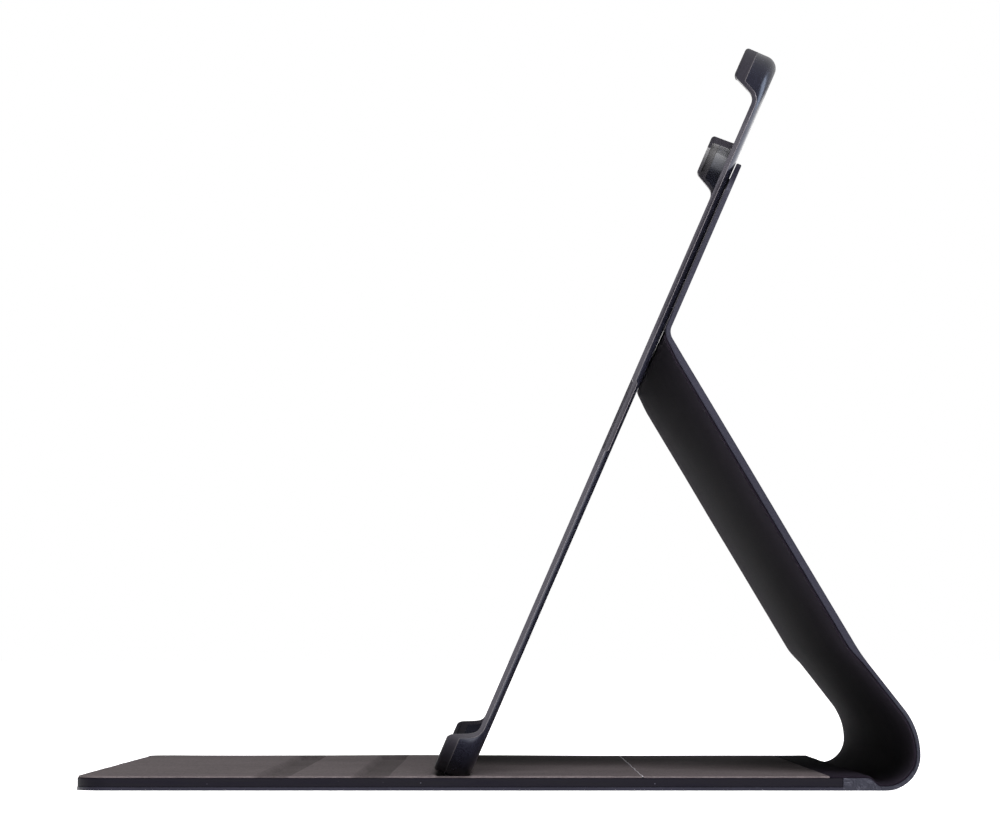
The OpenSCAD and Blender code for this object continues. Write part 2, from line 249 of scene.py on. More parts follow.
def bevel(obj, width, segments=3, angle=40):
    mod = obj.modifiers.new("edges", "BEVEL")
    mod.width = width
    mod.segments = segments
    mod.limit_method = "ANGLE"
    mod.angle_limit = math.radians(angle)
    return obj


def stations(first, last, extra=()):
    """Lengths along the contour from first to last, ends included, with extra lengths put in."""
    inside = [s for s in contour.s if first + 1e-5 < s < last - 1e-5]
    return sorted(set([first, last] + inside + [s for s in extra if first < s < last]))


def place(s):
    """Point and inward normal at a length along the contour."""
    s = min(max(s, 0.0), contour.s[-1])
    low, high = 0, len(contour.s) - 1
    while high - low > 1:
        middle = (low + high) // 2
        if contour.s[middle] <= s:
            low = middle
        else:
            high = middle
    span = contour.s[high] - contour.s[low]
    t = (s - contour.s[low]) / span if span else 0
    return (contour.points[low].lerp(contour.points[high], t),
            contour.normals[low].lerp(contour.normals[high], t).normalized())


def on_sheet(s, y, depth):
    point, normal = place(s)
    return Vector((point.x + normal.x * depth, y, point.y + normal.y * depth))


def layer(name, material, first, last, outer, inner, sides, columns=40, extra=(), edge=0.2 * MM,
          joined=(False, False)):
    """One layer of the laminate: outer(s, y) and inner(s, y) are depths, sides(s) its two Y limits.
    An end that is joined to the next piece keeps its full section, so that no line shows there."""
    along = stations(first, last, extra)
    points, faces = [], []
    ring = 2 * (columns + 1)
    for s in along:
        near, far = sides(s)
        across = [near + (far - near) * (0.5 - 0.5 * math.cos(math.pi * i / columns))
                  for i in range(columns + 1)]
        points += [on_sheet(s, y, outer(s, y)) for y in across]
        points += [on_sheet(s, y, inner(s, y)) for y in reversed(across)]
    for i in range(len(along) - 1):
        base = i * ring
        for j in range(ring):
            k = (j + 1) % ring
            faces.append((base + j, base + k, base + ring + k, base + ring + j))
    for i, flip in ((0, False), (len(along) - 1, True)):
        base = i * ring
        for j in range(columns):
            quad = (base + j, base + ring - 1 - j, base + ring - 2 - j, base + j + 1)
            faces.append(tuple(reversed(quad)) if flip else quad)
    obj = mesh_object(name, points, faces, material)
    fix_normals(obj)
    rounded_edges = set()
    for i in range(len(along) - 1):
        for j in (0, columns, columns + 1, ring - 1):
            rounded_edges.add((i * ring + j, (i + 1) * ring + j))
    for i, is_joined in ((0, joined[0]), (len(along) - 1, joined[1])):
        if not is_joined:
            rounded_edges |= {tuple(sorted((i * ring + j, i * ring + (j + 1) % ring))) for j in range(ring)}
    weights = obj.data.attributes.new("bevel_weight_edge", "FLOAT", "EDGE")
    for e in obj.data.edges:
        weights.data[e.index].value = 1.0 if tuple(sorted(e.vertices)) in rounded_edges else 0.0
    bevel(obj, edge, 3)
    obj.modifiers[-1].limit_method = "WEIGHT"
    return obj


def fix_normals(obj):
    bm = bmesh.new()
    bm.from_mesh(obj.data)
    bmesh.ops.recalc_face_normals(bm, faces=bm.faces)
    bm.to_mesh(obj.data)
    bm.free()
    obj.data.update()


def full_sides(inset=0.0):
    """Y limits of a sheet with straight sides."""
    def sides(s):
        return inset - HALF_WIDE, HALF_WIDE - inset
    return sides


def rounded_sides(inset, radius, start, end=None):
    """Y limits of a sheet whose corners are rounded at its start, and at its end if one is given."""
    def sides(s):
        half = HALF_WIDE - inset
        for gone in ((s - start), (end - s) if end is not None else radius):
            gone = max(0.0, gone)
            if gone < radius:
                reach = math.sqrt(max(0.0, radius ** 2 - (radius - gone) ** 2))
                half = min(half, HALF_WIDE - inset - radius + reach)
        return -half, half
    return sides


def corner_steps(start, radius, towards=1):
    return [start + towards * radius * (1 - math.cos(math.pi / 2 * i / 12)) for i in range(1, 13)]


# ---------------------------------------------------------------- materials
def new_material(name):
    mat = bpy.data.materials.new(name)
    mat.use_nodes = True
    tree = mat.node_tree
    shader = tree.nodes["Principled BSDF"]
    return mat, tree, shader


class Nodes:
    """Short calls for the nodes that the materials share."""

    def __init__(self, tree):
        self.tree = tree
        self.place = tree.nodes.new("ShaderNodeTexCoord").outputs["Object"]

    def link(self, a, b):
        self.tree.links.new(a, b)

    def scaled(self, scale):
        node = self.tree.nodes.new("ShaderNodeMapping")
        node.inputs["Scale"].default_value = scale
        self.link(self.place, node.inputs["Vector"])
        return node.outputs["Vector"]

    def noise(self, scale, detail=3, rough=0.55, vector=None, distortion=0.0):
        node = self.tree.nodes.new("ShaderNodeTexNoise")
        node.inputs["Scale"].default_value = scale
        node.inputs["Detail"].default_value = detail
        node.inputs["Roughness"].default_value = rough
        node.inputs["Distortion"].default_value = distortion
        self.link(vector or self.place, node.inputs["Vector"])
        return node.outputs["Fac"]

    def cells(self, scale, feature="F1", smoothness=None):
        node = self.tree.nodes.new("ShaderNodeTexVoronoi")
        node.feature = feature
        node.inputs["Scale"].default_value = scale
        if smoothness is not None:
            node.inputs["Smoothness"].default_value = smoothness
        self.link(self.place, node.inputs["Vector"])
        return node.outputs["Distance"]

    def range(self, value, low, high, to_low=0.0, to_high=1.0):
        node = self.tree.nodes.new("ShaderNodeMapRange")
        for name, number in (("From Min", low), ("From Max", high), ("To Min", to_low), ("To Max", to_high)):
            node.inputs[name].default_value = number
        self.link(value, node.inputs["Value"])
        return node.outputs["Result"]

    def math(self, operation, a, b):
        node = self.tree.nodes.new("ShaderNodeMath")
        node.operation = operation
        for i, value in enumerate((a, b)):
            if isinstance(value, (int, float)):
                node.inputs[i].default_value = value
            else:
                self.link(value, node.inputs[i])
        return node.outputs["Value"]

    def mix(self, factor, a, b):
        node = self.tree.nodes.new("ShaderNodeMix")
        node.data_type = "RGBA"
        self.link(factor, node.inputs["Factor"])
        for socket, value in ((node.inputs["A"], a), (node.inputs["B"], b)):
            if isinstance(value, tuple):
                socket.default_value = (*value, 1)
            else:
                self.link(value, socket)
        return node.outputs["Result"]

    def bump(self, height, strength, distance):
        node = self.tree.nodes.new("ShaderNodeBump")
        node.inputs["Strength"].default_value = strength
        node.inputs["Distance"].default_value = distance
        self.link(height, node.inputs["Height"])
        return node.outputs["Normal"]


def leather(name, dark, light, gloss=0.15, crumple=0.0):
    """Fine pebble grain with soft creases, as on coated synthetic leather.
    crumple adds folds near the table, which fade out with height."""
    mat, tree, shader = new_material(name)
    n = Nodes(tree)
    grain = n.cells(1500, "SMOOTH_F1", smoothness=0.6)
    fine = n.noise(5200, 2)
    crease = n.noise(240, 4, distortion=0.6)
    cloud = n.noise(38, 3)
    height = n.math("ADD", n.math("MULTIPLY", grain, 0.8), n.math("MULTIPLY", fine, 0.35))
    height = n.math("ADD", height, n.math("MULTIPLY", crease, 0.7))
    if crumple:
        fold = n.noise(330, 3, 0.5, n.scaled((1, 0.35, 1)), distortion=1.1)
        split = tree.nodes.new("ShaderNodeSeparateXYZ")
        n.link(n.place, split.inputs["Vector"])
        fold = n.math("MULTIPLY", fold, n.range(split.outputs["Z"], 20 * MM, 8 * MM))
        height = n.math("ADD", height, n.math("MULTIPLY", fold, crumple))
    n.link(n.mix(n.range(cloud, 0.3, 0.7), dark, light), shader.inputs["Base Color"])
    n.link(n.range(grain, 0.1, 0.8, 0.38, 0.55), shader.inputs["Roughness"])
    n.link(n.bump(height, 0.5, 0.06 * MM), shader.inputs["Normal"])
    shader.inputs["Specular IOR Level"].default_value = gloss
    shader.inputs["Specular Tint"].default_value = (0.82, 0.86, 1.0, 1)
    return mat


def microfibre(name, dark, light, sheen, sheen_tint=(0.75, 0.7, 0.68), shaded_grooves=()):
    """Brushed lining with a mottled nap and a soft sheen. Bands round the given groove X values are darkened:
    painted shade in the grooves.
    """
    mat, tree, shader = new_material(name)
    n = Nodes(tree)
    nap = n.noise(420, 5, 0.7, distortion=0.8)
    fibre = n.noise(3800, 3, 0.7, n.scaled((1, 0.35, 1)))
    cloud = n.noise(24, 4)
    streak = n.noise(1900, 2, 0.6, n.scaled((1, 0.09, 1)))
    tone = n.math("ADD", n.math("MULTIPLY", nap, 0.35), n.math("MULTIPLY", cloud, 0.3))
    tone = n.math("ADD", tone, n.math("MULTIPLY", streak, 0.35))
    colour = n.mix(n.range(tone, 0.38, 0.62), dark, light)
    # painted shade: a band along each groove is darkened to stand in for the shade that falls in it
    if shaded_grooves:
        split = tree.nodes.new("ShaderNodeSeparateXYZ")
        n.link(n.place, split.inputs["Vector"])
        nearest = None
        for middle in shaded_grooves:
            gone = n.math("ABSOLUTE", n.math("SUBTRACT", split.outputs["X"], middle), 0)
            nearest = gone if nearest is None else n.math("MINIMUM", nearest, gone)
        band = n.range(nearest, GROOVE_HALF, GROOVE_HALF - 1.4 * MM)
        shade = 0.62
        painted_groove_shade = n.mix(n.range(tone, 0.38, 0.62), tuple(c * shade for c in dark),
                               tuple(c * shade for c in light))
        colour = n.mix(band, colour, painted_groove_shade)
    n.link(colour, shader.inputs["Base Color"])
    shader.inputs["Roughness"].default_value = 0.95
    shader.inputs["Specular IOR Level"].default_value = 0.03
    shader.inputs["Sheen Weight"].default_value = sheen
    shader.inputs["Sheen Roughness"].default_value = 0.5
    shader.inputs["Sheen Tint"].default_value = (*sheen_tint, 1)
    height = n.math("ADD", n.math("MULTIPLY", fibre, 0.6), n.math("MULTIPLY", nap, 0.9))
    n.link(n.bump(height, 0.55, 0.12 * MM), shader.inputs["Normal"])
    return mat


def edge_paint(name, colour, dust):
    """Matt edge paint over the cut boards, with faint layer lines and specks of dust."""
    mat, tree, shader = new_material(name)
    n = Nodes(tree)
    lines = n.noise(900, 3, 0.6, n.scaled((0.06, 0.06, 1)))
    specks = n.cells(330)
    dusty = n.range(specks, 0.045, 0.02)
    base = n.mix(n.range(lines, 0.3, 0.7), tuple(c * 0.75 for c in colour), tuple(c * 1.25 for c in colour))
    n.link(n.mix(dusty, base, dust), shader.inputs["Base Color"])
    n.link(n.range(lines, 0.3, 0.7, 0.5, 0.72), shader.inputs["Roughness"])
    shader.inputs["Specular IOR Level"].default_value = 0.07
    n.link(n.bump(n.math("ADD", lines, n.noise(2500, 2)), 0.35, 0.05 * MM), shader.inputs["Normal"])
    return mat


def hard_gloss(name, colour):
    """Moulded glossy plastic with faint flow waves and handling haze."""
    mat, tree, shader = new_material(name)
    n = Nodes(tree)
    haze = n.noise(60, 5, 0.6)
    wave = n.noise(26, 2)
    shader.inputs["Base Color"].default_value = (*colour, 1)
    n.link(n.mix(n.range(haze, 0.3, 0.7), tuple(c * 0.85 for c in colour), tuple(c * 1.15 for c in colour)),
           shader.inputs["Base Color"])
    n.link(n.range(haze, 0.35, 0.7, 0.23, 0.3), shader.inputs["Roughness"])
    shader.inputs["Specular IOR Level"].default_value = 0.3
    shader.inputs["Specular Tint"].default_value = (0.74, 0.81, 1.0, 1)
    shader.inputs["Coat Weight"].default_value = 0.12
    shader.inputs["Coat Roughness"].default_value = 0.08
    n.link(n.bump(wave, 0.08, 0.2 * MM), shader.inputs["Normal"])
    return mat


def soft_satin(name, colour):
    """Moulded soft plastic: fine spark texture, satin."""
    mat, tree, shader = new_material(name)
    n = Nodes(tree)
    spark = n.noise(3600, 3, 0.65)
    cloud = n.noise(45, 3)
    n.link(n.mix(n.range(cloud, 0.3, 0.7), tuple(c * 0.85 for c in colour), tuple(c * 1.2 for c in colour)),
           shader.inputs["Base Color"])
    n.link(n.range(cloud, 0.3, 0.7, 0.4, 0.52), shader.inputs["Roughness"])
    n.link(n.bump(spark, 0.1, 0.01 * MM), shader.inputs["Normal"])
    shader.inputs["Specular IOR Level"].default_value = 0.33
    shader.inputs["Specular Tint"].default_value = (0.95, 0.93, 1.0, 1)
    return mat


def brushed_metal(name, colour):
    mat, tree, shader = new_material(name)
    n = Nodes(tree)
    lines = n.noise(1400, 3, 0.6, n.scaled((1, 0.04, 1)))
    shader.inputs["Metallic"].default_value = 1.0
    n.link(n.mix(n.range(lines, 0.3, 0.7), tuple(c * 0.8 for c in colour), colour),
           shader.inputs["Base Color"])
    n.link(n.range(lines, 0.3, 0.7, 0.28, 0.42), shader.inputs["Roughness"])
    n.link(n.bump(lines, 0.2, 0.02 * MM), shader.inputs["Normal"])
    return mat


def fibreboard(name, dark, light):
    mat, tree, shader = new_material(name)
    n = Nodes(tree)
    flecks = n.noise(700, 5, 0.7, distortion=1.2)
    n.link(n.mix(n.range(flecks, 0.35, 0.65), dark, light), shader.inputs["Base Color"])
    shader.inputs["Roughness"].default_value = 0.9
    n.link(n.bump(flecks, 0.4, 0.08 * MM), shader.inputs["Normal"])
    return mat


SKIN_MAT = leather("outer_leather", (0.0055, 0.0053, 0.0095), (0.010, 0.0095, 0.016))
BEND_MAT = leather("bend_leather", (0.0038, 0.0038, 0.0068), (0.0095, 0.0095, 0.015),
                   gloss=0.2, crumple=20.0)
EDGE_MAT = edge_paint("edge_paint", (0.0022, 0.0019, 0.0042), (0.09, 0.09, 0.11))
LINING_MAT = microfibre("cover_microfibre", (0.060, 0.052, 0.053), (0.106, 0.092, 0.093),
                        0.06, shaded_grooves=GROOVES)
# painted shade: the stand and bend linings are the cover's microfibre made about ten times darker, for the
# shade they lie in under the tray
SHADED_LINING_MAT = microfibre("stand_microfibre_shaded", (0.0062, 0.0049, 0.0076), (0.0112, 0.0088, 0.0134),
                       0.015, (0.7, 0.62, 0.85))
SHELL_MAT = hard_gloss("shell_gloss", (0.009, 0.0092, 0.0145))
BUMPER_MAT = soft_satin("bumper_satin", (0.0115, 0.0107, 0.0145))
# painted highlight: the parting bead is paler than the shell and bumper, for the light line along the parting
# edge
PARTING_HIGHLIGHT_MAT = soft_satin("painted_highlight_bead", (0.05, 0.047, 0.05))
# a pale colour for the raised line along the seam between the linings
SEAM_MAT = soft_satin("pale_seam_line", (0.36, 0.34, 0.37))
METAL_MAT = brushed_metal("plated_steel", (0.55, 0.55, 0.57))
BOARD_MAT = fibreboard("fibreboard", (0.16, 0.14, 0.11), (0.26, 0.23, 0.19))
GLUE_MAT = soft_satin("adhesive_sheet", (0.012, 0.012, 0.013))


# ---------------------------------------------------------------- the laminate's depths
S_FILLER = S_BOARDS + 5.6 * MM
S_THIN = S_BOARDS + 8.6 * MM
S_BOARD_START = S_KNEE + 1.5 * MM
BOARD_FADE = (4 * MM, 2 * MM)      # the stand thickens from before its board's start to after it
FOLD_FADE = 7 * MM                 # and thins to the upper panel over this length
GROOVE_SLOPE = 1.7 * MM            # width of a groove's sloping side
GROOVE_FADE = (0.6 * MM, 5 * MM)   # a groove runs out towards the cover's sides between these margins
LINING_WAVE = 0.07 * MM            # unevenness of the cover lining
RIM_LIFT = 0.22 * MM               # unevenness of its far edge, between the two margins below
RIM_FADE = (26 * MM, 4 * MM)
BEND_WAVE = (0.05 * MM, 0.1 * MM)  # unevenness of the stand lining, and what is added where it is soft
SKIN_WAVE = 0.12 * MM              # unevenness of the skin where it is soft


def total_depth(s):
    """Thickness of the whole laminate along the contour."""
    cover = COVER_TOP
    if s < S_BOARDS:
        return cover
    down = cover + (SOFT + SOFT_PLAY - cover) * smooth(S_FILLER, S_THIN, s)
    on_board = smooth(S_BOARD_START - BOARD_FADE[0], S_BOARD_START + BOARD_FADE[1], s)
    up = (STAND_THICK - SOFT - SOFT_PLAY) * on_board
    past_fold = smooth(S_FOLD_START, S_FOLD_START + FOLD_FADE, s)
    fold = (PANEL_THICK - ADHESIVE + EDGE_LEFT - STAND_THICK) * past_fold
    return down + up + fold


def lining_face(s, y):
    """Depth of the lining's free face, with the grooves in the cover and a little unevenness."""
    depth = total_depth(s)
    if s < S_BOARDS:
        x = FREE_EDGE + s
        fade = smooth(HALF_WIDE - GROOVE_FADE[0], HALF_WIDE - GROOVE_FADE[1], abs(y))
        for groove in GROOVES:
            gone = abs(x - groove)
            depth -= GROOVE_DEEP * fade * (1 - smooth(GROOVE_HALF - GROOVE_SLOPE, GROOVE_HALF, gone))
        depth += LINING_WAVE * ripple(s, y, 32 * MM, 3.1)
        rim = smooth(HALF_WIDE - RIM_FADE[0], HALF_WIDE - RIM_FADE[1], y)
        depth += RIM_LIFT * rim * (0.4 + ripple(s, 0.0, 46 * MM, 9.4))
    else:
        soft = 1 - smooth(S_THIN + 30 * MM, S_BOARD_START + 20 * MM, s)
        depth += (BEND_WAVE[0] + BEND_WAVE[1] * soft) * ripple(s, y, 17 * MM, 7.7)
    return depth


def skin_face(s, y):
    """Depth of the skin's outer face: flat on the table, uneven where it is soft."""
    soft = smooth(S_FILLER + 4 * MM, S_FILLER + 12 * MM, s) * (1 - smooth(S_FOLD_START, S_FOLD_END, s))
    return SKIN_WAVE * soft * (1 + ripple(s, y, 30 * MM, 1.3)) * 0.5


def edge_depth(s, y):
    """Where the skin's turned edge stops, below the lining."""
    return total_depth(s) - EDGE_LEFT


def bend_lining_back(s, y):
    return edge_depth(s, y) + LINING_GAP


def cover_skin_face(s, y):
    return 0.0


def cover_skin_back(s, y):
    return SKIN - SKIN_GAP


def cover_lining_back(s, y):
    return lining_face(s, y) - LINING


def nose_taper(s):
    """How much the upper panel is thinned on each face towards its free edge."""
    return NOSE - math.sqrt(max(0.0, NOSE ** 2 - max(0.0, NOSE - (S_TOP - s)) ** 2))


def panel_face(s, y):
    return skin_face(s, y) + nose_taper(s)


def panel_back(s, y):
    return PANEL_THICK - ADHESIVE - nose_taper(s)


def ride_all(body, slot, *objs):
    for obj in objs:
        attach(obj, body)


def rim_strip(name, material, outline, height_low, height_high, width):
    """A strip round an outline of (x, y) points, from one height to another."""
    points, faces = [], []
    count = len(outline)
    for i, p in enumerate(outline):
        before = (outline[i] - outline[max(i - 1, 0)])
        after = (outline[min(i + 1, count - 1)] - outline[i])
        way = ((before.normalized() if before.length else after.normalized())
               + (after.normalized() if after.length else before.normalized())).normalized()
        inward = Vector((way.y, -way.x))
        inner = p + inward * width
        points += [(p.x, p.y, height_low), (p.x, p.y, height_high),
                   (inner.x, inner.y, height_high), (inner.x, inner.y, height_low)]
    for i in range(count - 1):
        for j in range(4):
            k = (j + 1) % 4
            faces.append((4 * i + j, 4 * i + k, 4 * i + 4 + k, 4 * i + 4 + j))
    faces += [(0, 1, 2, 3), (4 * count - 1, 4 * count - 2, 4 * count - 3, 4 * count - 4)]
    obj = mesh_object(name, points, faces, material)
    fix_normals(obj)
    return obj


def cover_outline(inset):
    """Plan of the cover from the near end of its boards round the free edge to the far end."""
    radius = CORNER - inset
    half = HALF_WIDE - inset
    x0 = FREE_EDGE + inset
    points = [Vector((x, -half)) for x in (BOARDS_END, BOARDS_END - 60 * MM, 0, -50 * MM)]
    for centre_y, first in ((-half + radius, 270), (half - radius, 180)):
        for i in range(13):
            angle = math.radians(first - 90 * i / 12)
            points.append(Vector((x0 + radius + radius * math.cos(angle),
                                  centre_y + radius * math.sin(angle))))
    return points + [Vector((x, half)) for x in (-50 * MM, 0, BOARDS_END - 60 * MM, BOARDS_END)]


def seam_bead():
    """A pale raised line along the seam between the two linings, a little uneven like the real one."""
    rows, corners = 160, 6
    half = HALF_WIDE - 0.8 * MM
    high = 0.15 * MM
    points, faces = [], []
    for i in range(rows + 1):
        y = -half + 2 * half * i / rows
        x = SEAM + 0.25 * MM * ripple(40 * MM, y, 9 * MM, 5.2)
        width = 0.17 * MM * (1 + 0.35 * ripple(90 * MM, y, 5 * MM, 2.4))
        top = lining_face(SEAM - FREE_EDGE, y) + 0.07 * MM
        for k in range(corners):
            angle = math.radians(360 // corners * k)
            points.append((x + width * math.cos(angle), y, top - high + high * math.sin(angle)))
    for i in range(rows):
        for k in range(corners):
            a, b = corners * i + k, corners * i + (k + 1) % corners
            faces.append((a, b, b + corners, a + corners))
    faces += [tuple(range(corners - 1, -1, -1)), tuple(corners * rows + k for k in range(corners))]
    obj = mesh_object("cover_seam_bead", points, faces, SEAM_MAT, 80)
    fix_normals(obj)
    return obj


def make_cover():
    free = rounded_sides(0, CORNER, 0)
    sheet = layer("cover_outer_skin", SKIN_MAT, 0, S_BOARDS, cover_skin_face, cover_skin_back, free,
                  extra=corner_steps(0, CORNER), edge=0.3 * MM, joined=(False, True))
    edge = rim_strip("cover_painted_edge", EDGE_MAT, cover_outline(0.12 * MM), SKIN - 0.1 * MM,
                     COVER_TOP - 0.4 * MM, 0.7 * MM)
    bevel(edge, 0.22 * MM, 3)
    seam_s = SEAM - FREE_EDGE
    inset_sides = rounded_sides(LINING_INSET, CORNER - LINING_INSET, LINING_INSET)
    fine = [s * MM for s in range(1, int(S_BOARDS / MM))]
    groove_fine = [g - FREE_EDGE + side * (GROOVE_HALF - k * 0.2 * MM) for g in GROOVES for side in (-1, 1)
                   for k in range(0, 10)]
    front = layer("cover_grooved_lining", LINING_MAT, LINING_INSET, seam_s - SEAM_HALF,
                  cover_lining_back, lining_face, inset_sides, columns=70,
                  extra=corner_steps(LINING_INSET, CORNER) + fine + groove_fine, edge=0.18 * MM)
    rear_end = LINING_END - FREE_EDGE - HINGE_GAP
    rear = layer("cover_plain_lining", LINING_MAT, seam_s + SEAM_HALF, rear_end,
                 cover_lining_back, lining_face, full_sides(LINING_INSET),
                 columns=70, extra=fine, edge=0.18 * MM)
    ride_all("front_cover", "outer_skin", sheet, edge)
    ride_all("front_cover", "cover_lining", front, rear, seam_bead())
    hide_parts("cover_skin")
    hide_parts("grooved_lining")
    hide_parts("plain_lining")


# ---------------------------------------------------------------- bends, stand and upper panel
def laminate_piece(tag, first, last, body, pair=None, replaced=None, extra=(), lap=0.0):
    """Skin and lining between two lengths along the contour, riding one body, or left in place and attached
    to no body when it lies between two.
    """
    skin_obj = layer(f"{tag}_skin", BEND_MAT if pair else SKIN_MAT, first, last, skin_face,
                     edge_depth, rounded_sides(0, PANEL_CORNER, -1, S_TOP),
                     columns=50, extra=extra, edge=0.5 * MM, joined=(True, True))
    lining_obj = None
    if last <= S_FOLD_END - 3 * MM:
        lining_obj = layer(f"{tag}_lining", SHADED_LINING_MAT, first - lap, last,
                           bend_lining_back, lining_face, full_sides(BEND_INSET),
                           columns=50, extra=extra, edge=0.15 * MM,
                           joined=(not lap, True))
    for obj, slot, node in ((skin_obj, "outer_skin", 0), (lining_obj, "stand_lining", 1)):
        if obj is None:
            continue
        if pair:
            apply_modifiers(obj)
            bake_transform(obj)
        else:
            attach(obj, body)
        if replaced and replaced[node]:
            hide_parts(*replaced[node])
    return skin_obj, lining_obj


def apply_modifiers(obj):
    graph = bpy.context.evaluated_depsgraph_get()
    mesh = bpy.data.meshes.new_from_object(obj.evaluated_get(graph))
    obj.modifiers.clear()
    obj.data = mesh


def make_bends():
    s_spine = contour.length_at("spine")
    s_high_end = S_STRIP + 3 * MM
    laminate_piece("low_bend", S_BOARDS, s_spine, None, ("front_cover", "spine"),
                   (("spine_skin",), ("hinge_lining", "spine_lining")),
                   [S_BOARDS + k * 0.4 * MM for k in range(40)], S_BOARDS - (LINING_END - FREE_EDGE))
    laminate_piece("high_bend", s_spine, s_high_end, None, ("spine", "stand"),
                   None)
    s_fold = S_FOLD_START - FOLD_LEAD
    laminate_piece("stand_panel", s_high_end, s_fold, "stand",
                   replaced=(("stand_skin", "stand_board"), ("stand_lining",)))
    skin_fold = layer("fold_skin", SKIN_MAT, s_fold, S_FOLD_END, skin_face, edge_depth, full_sides(),
                      columns=50, edge=0.5 * MM, joined=(True, True))
    lining_fold = layer("fold_lining", SHADED_LINING_MAT, s_fold, S_FOLD_START + FOLD_INSIDE,
                        bend_lining_back, lining_face, full_sides(BEND_INSET),
                        columns=50, edge=0.15 * MM, joined=(True, False))
    for obj, slot, length, inset in ((skin_fold, "outer_skin", S_FOLD_END - s_fold, 0.0),
                                     (lining_fold, "stand_lining", FOLD_LEAD + FOLD_INSIDE, BEND_INSET)):
        apply_modifiers(obj)
        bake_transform(obj)
    slices = [S_TOP - NOSE * (1 - math.cos(math.radians(15 * i))) for i in range(1, 7)]
    panel = layer("upper_panel_skin", SKIN_MAT, S_FOLD_END, S_TOP, panel_face, panel_back,
                  rounded_sides(0, PANEL_CORNER, -1, S_TOP),
                  columns=50, extra=corner_steps(S_TOP, PANEL_CORNER, -1) + slices, edge=0.3 * MM,
                  joined=(True, False))
    ride_all("holder", "outer_skin", panel)
    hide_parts("panel_skin", "panel_board")


# ---------------------------------------------------------------- tray
def dress_cad(node, material):
    """Give a carried-over CAD part its material; a modifier welds its doubled vertices, its mesh stays."""
    obj = frame["nodes"][node]
    for slot_material in obj.material_slots:
        slot_material.material = material
    weld = obj.modifiers.new("weld", "WELD")
    weld.merge_threshold = 0.004 * MM


FOLD_AT = 111.7 * MM
TRAY_LONG = 251.4 * MM
TRAY_SHORT = 182.3 * MM
TRAY_THICK = 8.4 * MM
TRAY_CORNER = 19.9 * MM
WALL = 1.8 * MM
BACK_PLATE = 1.5 * MM
LIP_UNDER = 7.5 * MM
LIP_IN = 3.4 * MM
REAR_ROUND = 3 * MM
LIP_ROUND = 0.8 * MM
PARTING = 5.6 * MM
RIM = 2.25 * MM
BAND = 1 * MM
SLANT = math.tan(math.radians(25))
SIDE_OPENING = (9 * MM, TRAY_SHORT - 9 * MM)
TOP_OPENING = (-98 * MM, 98 * MM)
PORT_NOTCH = (8.25 * MM, 0.6 * MM)
CAMERA_MIDDLE = (TRAY_SHORT - 15 * MM, TRAY_LONG / 2 - 30 * MM)
CAMERA_HALF = (9 * MM, 16 * MM)
CAMERA_ROUND = 8.9 * MM
TRAY_FOOT = FOLD - TRAY_UP * FOLD_AT - TRAY_BACK * (FOLD_CLEARANCE + STAND_THICK / 2)


def in_tray(u, w, v):
    """World place of a point given along the tray, across it and above its back."""
    p = TRAY_FOOT + TRAY_UP * u - TRAY_BACK * v
    return (p.x, w, p.y)


def rounded(a, b, c, radius, steps=8):
    """Points of an arc that rounds the corner at b of the path a, b, c."""
    to_a, to_c = (a - b).normalized(), (c - b).normalized()
    half = to_a.angle(to_c) / 2
    centre = b + (to_a + to_c).normalized() * radius / math.sin(half)
    arm = b + to_a * radius / math.tan(half) - centre
    turn = math.copysign(math.pi - 2 * half, to_c.x * to_a.y - to_c.y * to_a.x)
    return [centre + Vector((arm.x * math.cos(turn * i / steps) - arm.y * math.sin(turn * i / steps),
                             arm.x * math.sin(turn * i / steps) + arm.y * math.cos(turn * i / steps)))
            for i in range(steps + 1)]


def opening_profile(limits, grow, notch):
    """(place along the wall, height) points of an opening's edge, grown by a margin, from end to end."""
    foot = RIM - grow
    start = limits[0] - grow * math.sqrt(1 + SLANT ** 2)
    low = start + (TRAY_THICK - foot) * SLANT
    middle = sum(limits) / 2
    top_left = Vector((start - 10 * MM, TRAY_THICK))
    lip, bottom = Vector((start, TRAY_THICK)), Vector((low, foot))
    half = [top_left] + rounded(top_left, lip, bottom, 2 * MM)
    half += rounded(lip, bottom, Vector((middle, foot)), 2.5 * MM + grow)
    if notch:
        half += [Vector((middle - PORT_NOTCH[0] - PORT_NOTCH[1], foot)),
                 Vector((middle - PORT_NOTCH[0], foot - PORT_NOTCH[1]))]
    return half + [Vector((2 * middle - q.x, q.y)) for q in reversed(half)]


def height_in(profile, t):
    if t <= profile[0].x or t >= profile[-1].x:
        return TRAY_THICK
    for a, b in zip(profile, profile[1:]):
        if a.x <= t <= b.x:
            return a.y + (b.y - a.y) * (t - a.x) / max(b.x - a.x, 1e-9)
    return TRAY_THICK


EDGES = {(side, grow): opening_profile(SIDE_OPENING if side != "top" else TOP_OPENING, grow, side == "near")
         for side in ("near", "far", "top") for grow in (0.0, BAND)}


def wall_height(u, w, grow):
    """Height of the wall's edge at a place, or of the bumper's lower edge with the band's width as margin."""
    if u > TRAY_SHORT - LIP_IN - 0.1 * MM and abs(w) < TOP_OPENING[1] + 8 * MM:
        return height_in(EDGES["top", grow], w)
    if abs(w) > TRAY_LONG / 2 - 12 * MM:
        return height_in(EDGES["near" if w < 0 else "far", grow], u)
    return TRAY_THICK


